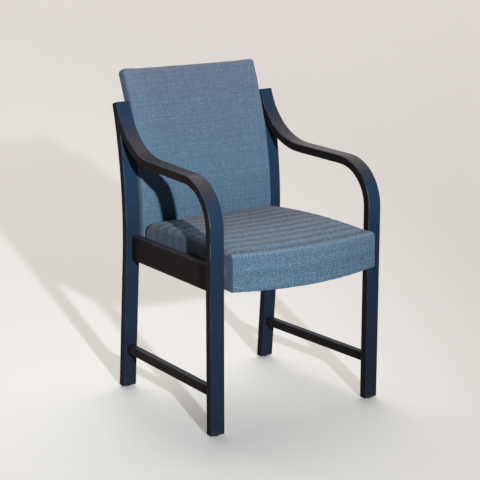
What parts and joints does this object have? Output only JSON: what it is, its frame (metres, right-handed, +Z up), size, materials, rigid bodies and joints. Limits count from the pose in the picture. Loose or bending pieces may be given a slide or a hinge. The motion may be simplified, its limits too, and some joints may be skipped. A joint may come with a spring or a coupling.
{
  "type": "upholstered visitor armchair",
  "caption": "Visitor armchair: an upholstered seat and a curved back pad held between bent-laminated wooden side frames whose arms sweep up into the raked back posts.",
  "frame": {"origin": "middle of the footprint box on the floor, under the glides", "axes": "+Z up; -Y the way the chair faces; +X to the right for someone who faces the chair, as in the node names"},
  "size_m": [0.5238, 0.5756, 0.8467],
  "materials": {
    "lacquered_wood": "dark blue satin lacquer",
    "upholstery": "blue-grey woven tweed",
    "beech": "planed, unfinished",
    "plywood": "unfinished",
    "dust_cloth": "black non-woven",
    "steel": "zinc plated",
    "insert_brass": "turned",
    "glide_plastic": "moulded"
  },
  "bodies": {
    "root": {"left_arm_leg": "lacquered_wood", "left_back_leg": "lacquered_wood", "left_seat_rail": "lacquered_wood", "left_stretcher": "lacquered_wood", "right_arm_leg": "lacquered_wood", "right_back_leg": "lacquered_wood", "right_seat_rail": "lacquered_wood", "right_stretcher": "lacquered_wood", "seat_cushion": "upholstery", "back_cushion": "upholstery", "back_rear_cover": "upholstery", "seat_frame_left": "beech", "seat_frame_right": "beech", "seat_frame_front": "beech", "seat_frame_rear": "beech", "seat_corner_blocks": "beech", "seat_frame_dowels": "beech", "back_frame_left": "beech", "back_frame_right": "beech", "back_frame_top": "beech", "back_frame_bottom": "beech", "rail_dowels": "beech", "stretcher_dowels": "beech", "seat_board": "plywood", "back_panel": "plywood", "seat_dust_cover": "dust_cloth", "seat_bolts": "steel", "back_bolts": "steel", "seat_spacers": "steel", "glide_nails": "steel", "seat_inserts": "insert_brass", "back_inserts": "insert_brass", "left_front_glide": "glide_plastic", "left_back_glide": "glide_plastic", "right_front_glide": "glide_plastic", "right_back_glide": "glide_plastic"}
  },
  "joints": []
}
